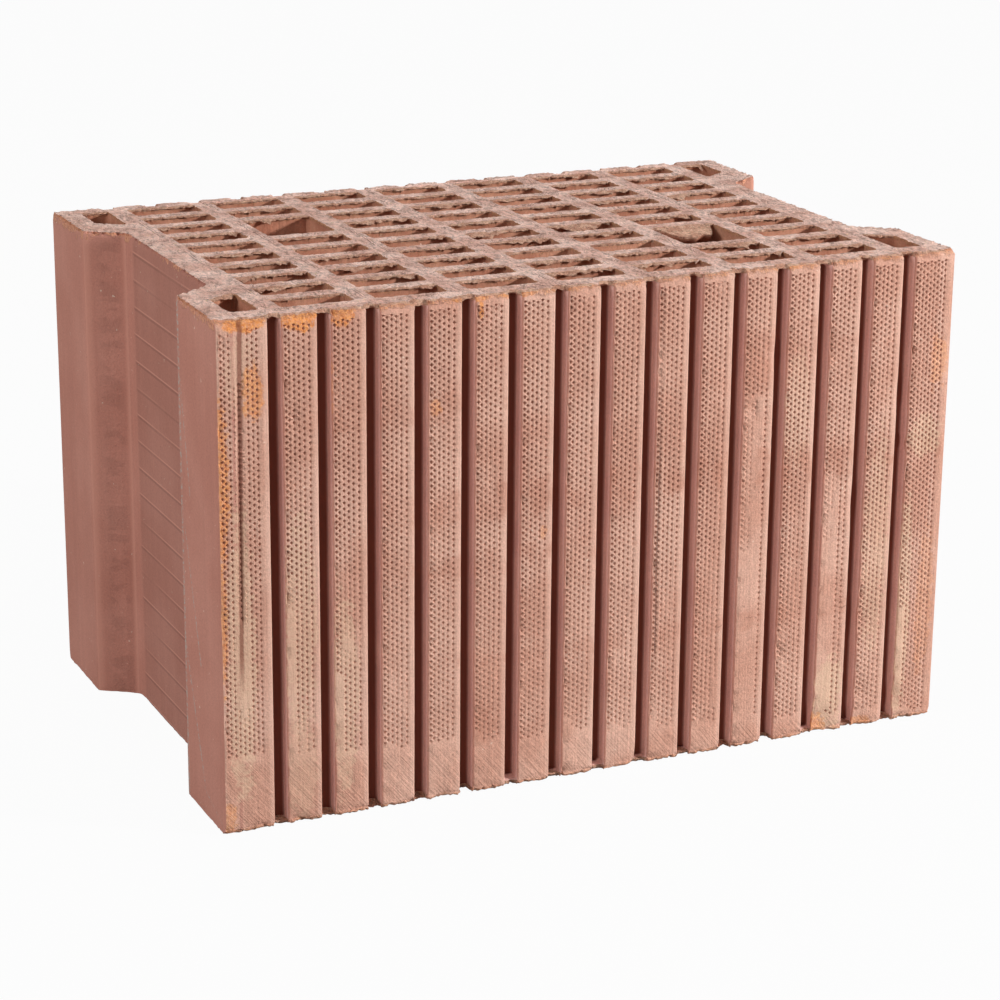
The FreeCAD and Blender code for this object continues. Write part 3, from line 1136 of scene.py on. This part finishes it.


# %% [markdown]
# ## Lands
# The lands carry fine upright drag lines from the die. Below the knurl they are smooth, with a faint
# slanting hatch. Their right edges are painted paler, a painted highlight where the lamp catches the
# eased edge, and their left edges take on the red of the groove beside them. The right half of each
# fresh dimple, which faces away from the lamp, gets a darker finish of its own as painted shade.

# %% Land finish
LAND_PITCH = (land_spans[2][1] - land_spans[1][1]) / MM
RIGHT_EDGE = (land_spans[1][1] + LAND_SPREAD) / MM
LEFT_EDGE = land_spans[1][0] / MM
BARE_BELOW = KNURL_FOOT / MM - 3
KNURLED_ABOVE = KNURL_FOOT / MM + 3


def land_finish(name, marked):
    """Make the finish of the lands, with the stains of the photographed face or plain."""
    material, bench = new_finish(name)
    place = bench.place()
    x, _, z = bench.axes(place)
    colour, grain = clay_ground(bench, place, shade(196, 146, 126), shade(210, 166, 147), 38, 0.4)
    drags = bench.cloud(bench.stretched(place, 1, 1, 0.03), 1.3, 3)
    colour = bench.shaded(colour, drags * 0.4 + 0.8)
    blots = bench.cloud(place, 5, 4, 0.7)
    ragged = (blots - 0.5) * 4
    height = grain * 0.35 + drags * 0.3 + blots * 0.6
    red_side = bench.line((x - LEFT_EDGE + 0.5).folded(LAND_PITCH), 1.0)
    colour = bench.tint(colour, shade(180, 122, 108), red_side * 0.6)
    # Painted highlight: a paler stripe along the right edge of every land, where the key lamp catches
    # the eased edge.
    painted_edge_highlight = bench.line((x - RIGHT_EDGE).folded(LAND_PITCH), 1.7)
    colour = bench.tint(colour, shade(226, 186, 168), painted_edge_highlight * 0.3)
    if marked:
        lumps = bench.cloud(place, 1.3, 4, 0.72)
        mottle = bench.rise(lumps, 0.36, 0.6) * 0.5 + 0.5
        broken = bench.rise(bench.cloud(bench.stretched(place, 1, 1, 0.6), 9, 3), 0.4, 0.6) * 0.8
        sandy = bench.tint(DEEP_ORANGE, ORANGE, bench.rise(bench.cloud(place, 1.8, 4, 0.7), 0.36, 0.64))
        stains = (
            (RUST, RUST_MARKS, broken), (BEIGE, BEIGE_MARKS, mottle), (sandy, ORANGE_MARKS, mottle),
        )
        for stain, marks, spread in stains:
            mask = mark_mask(bench, x, z, ragged, marks)
            colour = bench.tint(colour, stain, mask * spread)
        wobble = bench.cloud(bench.stretched(place, 0, 0, 1), 4, 3) - 0.5
        beside_drag = x - DRAG_TOP / MM - (z - HEIGHT / MM) * DRAG_SLANT + wobble * 1.5
        above_foot = bench.rise(z, (DRAG_FOOT - DRAG_FADE) / MM, (DRAG_FOOT + DRAG_FADE) / MM)
        drag = bench.line(beside_drag, 1.6) * above_foot
        colour = bench.tint(colour, DRAG, drag * 0.75)
        cracks = crack_mask(bench, place, x, z)
        colour = bench.tint(colour, CRACK, cracks * 0.65)
    hatch = bench.cloud(bench.stretched(bench.turned(place, math.radians(40)), 1, 1, 0.04), 0.9, 2)
    bare = 1 - bench.rise(z + x * KNURL_SLANT, BARE_BELOW, KNURLED_ABOVE)
    colour = bench.shaded(colour, (hatch - 0.5) * bare * 0.5 + 1)
    crumbs = bench.rise(z + ragged * 1.6, 237, 239.4).most(1 - bench.rise(z + ragged, 0.4, 3))
    colour = bench.tint(colour, bench.tint(RUST, ORANGE, bench.rise(grain, 0.4, 0.62)), crumbs * 0.55)
    bench.clay(colour, height + hatch * bare * 0.5 + crumbs * grain)
    return material


def painted_shade_pit_finish():
    """Make the painted shade of the dimples' right halves, paler towards the bottom bed."""
    material, bench = new_finish("painted_shade_pit")
    place = bench.place()
    z = bench.axes(place)[2]
    colour, grain = clay_ground(bench, place, shade(166, 116, 97), shade(184, 134, 114), 12, 0.3)
    colour = bench.tint(colour, shade(200, 152, 132), (1 - bench.rise(z, 50, 150)) * 0.7)
    bench.clay(colour, grain * 0.2)
    return material


# %% [markdown]
# ## Grooves and ends
# The grooves are smooth from the die and redder, and darker towards their floor as painted shade. The
# ends are the smoothest clay of all; the right end, which faces the key lamp, gets a darker tone as
# painted shade. The mortar pockets have level lines from the cutter, drawn as a painted highlight with a
# painted shadow below, smears on the slanting flank, corners made paler as painted highlight, a floor
# darkened as painted shade, grey rubs from handling, and at the top bed a torn, sandy strip.

# %% Groove and end finishes
GROOVE_TOP = (WIDTH / 2) / MM - 5.6
GROOVE_FLOOR = (WIDTH / 2) / MM - 7.4
POCKET_EDGE = (LENGTH / 2) / MM - 0.4
POCKET_FLOOR = abs(openings["mortar_pocket_left"][1][0]) / MM
CORNER = abs(openings["mortar_pocket_left"][0][1]) / MM + 1
LINE_TOP = 232.5
LINE_PITCH = 13.6
RUBS = [((-74, 240), (-73.5, 0), 2.4), ((-78, 133), (-96, 72), 1.0), ((-74, 79), (-99, 12), 1.2),
        ((-99, 12), (-119, 5), 1.4), ((-75, 205), (-86, 150), 0.9)]


def groove_finish():
    """Make the finish of the grooves, with painted shade darker towards their floor."""
    material, bench = new_finish("groove")
    place = bench.place()
    y = bench.axes(place)[1]
    colour, grain = clay_ground(bench, place, shade(216, 172, 162), shade(222, 180, 168), 30, 0.3)
    # Painted shade: the colour darkens towards the groove floor, where little light reaches.
    deep = 1 - bench.rise(y.absolute(), GROOVE_FLOOR, GROOVE_TOP)
    colour = bench.tint(colour, shade(108, 56, 42), deep)
    streaks = bench.cloud(bench.stretched(place, 1, 1, 0.02), 1.8, 2)
    colour = bench.shaded(colour, streaks * 0.2 + 0.9)
    bench.clay(colour, streaks * 0.15 + grain * 0.1)
    return material


def rub_mask(bench, place, y, z):
    """Be 1 on the grey rubs of the left end."""
    mask = None
    for (start_y, start_z), (stop_y, stop_z), half in RUBS:
        slant = (stop_y - start_y) / (stop_z - start_z)
        gap = y - (z - start_z) * slant - start_y
        rub = bench.line(gap, half) * bench.window(z, min(start_z, stop_z), max(start_z, stop_z), 2)
        mask = mask.most(rub) if mask else rub
    return mask * bench.rise(bench.cloud(place, 1.6, 4, 0.7), 0.45, 0.6)


def pocket_lines(bench, place, out, y, z):
    """Give the level lines on the pocket floors: a painted highlight on the line, and a painted shadow
    just below it.
    """
    floor = (1 - bench.rise(out, POCKET_FLOOR, POCKET_FLOOR + 0.6)) * (1 - bench.rise(y, 48, 53))
    faint = bench.rise(bench.cloud(bench.stretched(place, 1, 0.06, 1), 7, 2), 0.3, 0.55) * floor
    line_highlight = bench.line((z - LINE_TOP).folded(LINE_PITCH), 0.6) * faint
    line_shadow = bench.line((z - LINE_TOP + 1).folded(LINE_PITCH), 0.9) * faint
    return line_highlight, line_shadow, floor


def end_skin_finish():
    """Make the finish of the ears and mortar pockets."""
    material, bench = new_finish("end_skin")
    place = bench.place()
    x, y, z = bench.axes(place)
    out = x.absolute()
    colour, grain = clay_ground(bench, place, shade(184, 125, 109), shade(192, 134, 118), 45, 0.22)
    # Painted shade: the right end, which faces the key lamp, gets a darker, duller tone.
    colour = bench.tint(colour, shade(168, 118, 98), bench.rise(x, 0, 50) * 0.8)
    streaks = bench.cloud(bench.stretched(place, 1, 1, 0.03), 5, 2)
    colour = bench.shaded(colour, streaks * 0.16 + 0.92)
    height = grain * 0.12 + streaks * 0.2
    line_highlight, line_shadow, floor = pocket_lines(bench, place, out, y, z)
    # Painted shade: the recessed pocket floor is darkened.
    colour = bench.shaded(colour, 1 - floor * 0.17)
    # Painted highlight on each cutter line and painted shadow just below it.
    colour = bench.tint(colour, shade(212, 152, 134), line_highlight * 0.6)
    colour = bench.shaded(colour, 1 - line_shadow * 0.22)
    flank = bench.window(out, POCKET_FLOOR + 0.3, POCKET_EDGE, 0.3)
    smear = bench.rise(bench.cloud(bench.stretched(place, 0.4, 0.4, 1), 9, 3, 0.55), 0.46, 0.54)
    inner = bench.window(out, POCKET_FLOOR + 3, POCKET_EDGE - 6, 2) * flank
    colour = bench.shaded(colour, 1 - smear * inner * 0.12)
    height = height + inner * bench.cloud(place, 1.8, 3, 0.6) * 0.4
    # Painted highlight: the corners of the pockets are made paler, where a rounded corner would catch
    # the light.
    corner = bench.rise(out, POCKET_EDGE - 4, POCKET_EDGE - 1).most(
        1 - bench.rise(out, POCKET_FLOOR + 0.5, POCKET_FLOOR + 2.5)) * flank
    corner = corner.most(bench.line(y.absolute() - CORNER, 1.8) * floor)
    colour = bench.tint(colour, shade(210, 150, 132), corner * 0.6)
    rubs = rub_mask(bench, place, y, z) * (1 - bench.rise(x, -187, -186))
    colour = bench.tint(colour, CHALK, rubs * 0.85)
    lumps = bench.cloud(place, 1.5, 4, 0.7)
    dips = bench.cloud(place, 9, 3)
    torn = bench.rise(z + (lumps - 0.5) * 9 + (dips - 0.5) * 16 - flank * 3 - floor * 3, 235.5, 237.5)
    crumbs = bench.tint(shade(188, 114, 90), shade(238, 172, 138), bench.rise(lumps, 0.36, 0.54))
    colour = bench.tint(colour, crumbs, torn * 0.9)
    bench.clay(colour, height + torn * (lumps - 0.46) * 2)
    return material


# %% [markdown]
# ## Beds, slots and torn clay
# The wire leaves the beds pale and granular, with hairlines along its way from front to back,
# mostly on the webs that run that way. Slot walls are the warm inside of the clay, ribbed up and
# down by the die. Torn clay is crumbs: pale orange grains with dark gaps between them.

# %% Bed, slot and torn finishes
slot_low = openings["slot_column_1_row_1"][0][0] / MM
slot_high = openings["slot_column_1_row_1"][1][0] / MM
WEB_PITCH = (openings["slot_column_4_row_1"][0][0] / MM - slot_low) / 3
WEB_MIDDLE = (slot_high + slot_low + WEB_PITCH) / 2


def bed_finish():
    """Make the wire-cut finish of the beds."""
    material, bench = new_finish("bed")
    place = bench.place()
    x = bench.axes(place)[0]
    colour, _ = clay_ground(bench, place, shade(198, 157, 142), shade(222, 190, 177), 16)
    drag = bench.cloud(bench.stretched(place, 1, 0.08, 1), 1.2, 3)
    colour = bench.shaded(colour, drag * 0.3 + 0.85)
    sand = bench.cloud(bench.stretched(place, 1, 0.5, 1), 2.6, 4, 0.75)
    colour = bench.shaded(colour, bench.rise(sand, 0.32, 0.58) * 0.54 + 0.68)
    veins = bench.line(bench.cloud(bench.stretched(place, 1, 0.6, 1), 7, 4, 0.6) - 0.5, 0.022)
    veins = veins * bench.rise(bench.cloud(place, 11, 2), 0.45, 0.6)
    colour = bench.tint(colour, CRACK, veins * 0.55)
    sway = (bench.cloud(bench.stretched(place, 0, 1, 0), 30, 2) - 0.5) * 3
    beside_web = x - WEB_MIDDLE
    hairlines = bench.line((beside_web - 1.4 + sway).folded(WEB_PITCH), 0.35)
    hairlines = hairlines.most(bench.line((beside_web - 2.8 + sway).folded(WEB_PITCH), 0.3) * 0.7)
    hairlines = hairlines * bench.rise(bench.cloud(bench.stretched(place, 1, 0.5, 1), 22, 2), 0.5, 0.58)
    colour = bench.tint(colour, CRACK, hairlines * 0.6)
    specks = bench.rise(bench.cloud(place, 1.9, 1), 0.71, 0.75)
    colour = bench.tint(colour, shade(232, 200, 156), specks * 0.8)
    bench.clay(colour, sand * 2 + drag * 0.6)
    return material


def slot_wall_finish():
    """Make the finish of the slot walls."""
    material, bench = new_finish("slot_wall")
    place = bench.place()
    z = bench.axes(place)[2]
    colour, grain = clay_ground(bench, place, shade(178, 118, 94), shade(196, 140, 114), 14, 0.3)
    ribs = bench.cloud(bench.stretched(place, 1, 1, 0.06), 2.2, 3)
    colour = bench.shaded(colour, ribs * 0.3 + 0.85)
    lumps = bench.cloud(place, 1.5, 4, 0.7)
    torn = bench.rise(z + (lumps - 0.5) * 7, 237.5, 239.5)
    crumbs = bench.tint(CRACK, shade(214, 158, 118), bench.rise(lumps, 0.36, 0.5))
    colour = bench.tint(colour, crumbs, torn * 0.7)
    bench.clay(colour, grain * 0.15 + ribs * 0.5 + torn * (lumps - 0.46) * 1.5)
    return material


def torn_finish():
    """Make the crumbly finish of the torn lips."""
    material, bench = new_finish("torn")
    place = bench.place()
    x = bench.axes(place)[0]
    colour, grain = clay_ground(bench, place, shade(196, 144, 120), shade(222, 180, 154), 4)
    ear = bench.rise(x.absolute(), POCKET_EDGE - 6, POCKET_EDGE - 3)
    colour = bench.tint(colour, shade(230, 156, 120), ear * 0.8)
    lumps = bench.cloud(place, 1.6, 5, 0.72)
    gaps = 1 - bench.rise(lumps, 0.36, 0.47)
    colour = bench.tint(colour, CRACK, gaps * (0.55 - ear * 0.25))
    bench.clay(colour, lumps * 2.2 + grain * 0.4)
    return material


# %% [markdown]
# ## Dressing the pieces
# The materials go onto each piece in the order of the list of finishes, so that a face's number
# finds its own. Only the lands differ: the photographed face has the stains, and the others are
# plain.

# %% Dress the pieces
shared = {
    "groove": groove_finish(), "end_skin": end_skin_finish(), "bed": bed_finish(),
    "slot_wall": slot_wall_finish(), "torn": torn_finish(), "painted_shade_pit": painted_shade_pit_finish(),
}
front_land = land_finish("front_land", True)
back_land = land_finish("back_land", False)
for piece, land in ((front_face, front_land), (back_face, back_land), (slotted_middle, back_land)):
    for name in FINISHES:
        piece.data.materials.append(shared.get(name, land))
    print(piece.name, [material.name for material in piece.data.materials])

# %% [markdown]
# ## Floor
# The photograph is a cut-out on white. The floor is nearly white to the eye and an ordinary grey
# one to the light on the block: a Light Path node tells the two apart. The little that is left of
# the grey keeps the shadow under the block.

# %% Floor
FLOOR_REACH = 8.0
SHOWN_WHITE = 0.96
WHITE = (1, 1, 1, 1)
FLOOR_GREY = (0.4, 0.4, 0.4, 1)

floor_mesh = bmesh.new()
bmesh.ops.create_grid(floor_mesh, x_segments=1, y_segments=1, size=FLOOR_REACH)
floor_data = bpy.data.meshes.new("floor")
floor_mesh.to_mesh(floor_data)
floor_mesh.free()
floor = bpy.data.objects.new("floor", floor_data)
bpy.context.scene.collection.objects.link(floor)


def seen_directly(bench):
    """Be 1 for rays from the camera, a mirror or glass, and 0 for light that falls on things."""
    path = bench.node("ShaderNodeLightPath").socket.node.outputs
    camera, glossy, through = [
        Wire(bench, path[name]) for name in ("Is Camera Ray", "Is Glossy Ray", "Is Transmission Ray")
    ]
    return camera.most(glossy).most(through)


floor_material, bench = new_finish("floor")
matt = bench.node("ShaderNodeBsdfDiffuse", None, {"Color": FLOOR_GREY})
white = bench.node("ShaderNodeEmission", None, {"Color": WHITE, "Strength": 1.0})
share_of_white = seen_directly(bench) * SHOWN_WHITE
floor_mix = bench.node("ShaderNodeMixShader", None, {0: share_of_white, 1: matt, 2: white})
bench.node("ShaderNodeOutputMaterial", None, {"Surface": floor_mix})
floor_data.materials.append(floor_material)
print(f"floor {2 * FLOOR_REACH:.0f} m wide")

# %% [markdown]
# ## Light
# One lamp stands at the front right, low enough to throw slanting shadows into the slots, and a
# wide soft one at the left reaches the end and the right walls of the grooves. A faint fill from
# all round, stronger from above, is all that gets deep into the slots.

# %% Fill light and lamps
FILL_LOW = 0.12
FILL_HIGH = 0.72

world = bpy.data.worlds.new("studio")
world.use_nodes = True
bpy.context.scene.world = world
bench = Bench(world.node_tree)
upwards = bench.axes(bench.node("ShaderNodeTexCoord"))[2]
overhead = upwards.most(0.0)
fill = overhead * overhead * (FILL_HIGH - FILL_LOW) + FILL_LOW
seen = seen_directly(bench)
sky = bench.node("ShaderNodeBackground", None, {
    "Color": WHITE, "Strength": seen + (1 - seen) * fill,
})
bench.node("ShaderNodeOutputWorld", None, {"Surface": sky})


def add_lamp(name, azimuth, height, distance, size, share):
    """Stand a round lamp off the block that gives a share of full light to a surface facing it."""
    turn, lift = math.radians(azimuth), math.radians(height)
    towards = Vector((
        math.sin(turn) * math.cos(lift), -math.cos(turn) * math.cos(lift), math.sin(lift),
    ))
    data = bpy.data.lights.new(name, "AREA")
    data.shape = "DISK"
    data.size = size
    data.energy = share * (math.pi * distance) ** 2
    lamp = bpy.data.objects.new(name, data)
    lamp.location = Vector((0, 0, HEIGHT / 2)) + towards * distance
    lamp.rotation_euler = towards.to_track_quat("Z", "Y").to_euler()
    lamp.visible_camera = False
    bpy.context.scene.collection.objects.link(lamp)
    print(f"{name} of {data.energy:.0f} W at {distance} m")


add_lamp("key", azimuth=50, height=19, distance=2.2, size=0.2, share=1.08)
add_lamp("side", azimuth=-75, height=25, distance=2.4, size=0.9, share=0.4)

# %% [markdown]
# ## Camera
# The camera stands where the photograph was taken from. Its place and turn were worked out from
# the corners of the block, which is easier to trust than matching by eye.

# %% Camera at the photograph's place
SENSOR = 36.0
LENS = 102.56
CAMERA_PLACE = Vector((-0.5693, -1.2521, 0.5359))
CAMERA_AZIMUTH = math.radians(24.64)
CAMERA_PITCH = math.radians(-17.57)
CAMERA_ROLL = math.radians(0.53)

camera_data = bpy.data.cameras.new("camera")
camera_data.lens = LENS
camera_data.sensor_width = SENSOR
camera = bpy.data.objects.new("camera", camera_data)
bpy.context.scene.collection.objects.link(camera)
ahead = Vector((
    math.sin(CAMERA_AZIMUTH) * math.cos(CAMERA_PITCH),
    math.cos(CAMERA_AZIMUTH) * math.cos(CAMERA_PITCH),
    math.sin(CAMERA_PITCH),
))
level_right = ahead.cross(Vector((0, 0, 1))).normalized()
level_up = level_right.cross(ahead)
right = level_right * math.cos(CAMERA_ROLL) + level_up * math.sin(CAMERA_ROLL)
turn = Matrix((right, right.cross(ahead), -ahead)).transposed()
camera.matrix_world = Matrix.Translation(CAMERA_PLACE) @ turn.to_4x4()
bpy.context.scene.camera = camera
bpy.context.scene.view_settings.view_transform = "Standard"
print(f"camera {CAMERA_PLACE.length:.2f} m from the block")
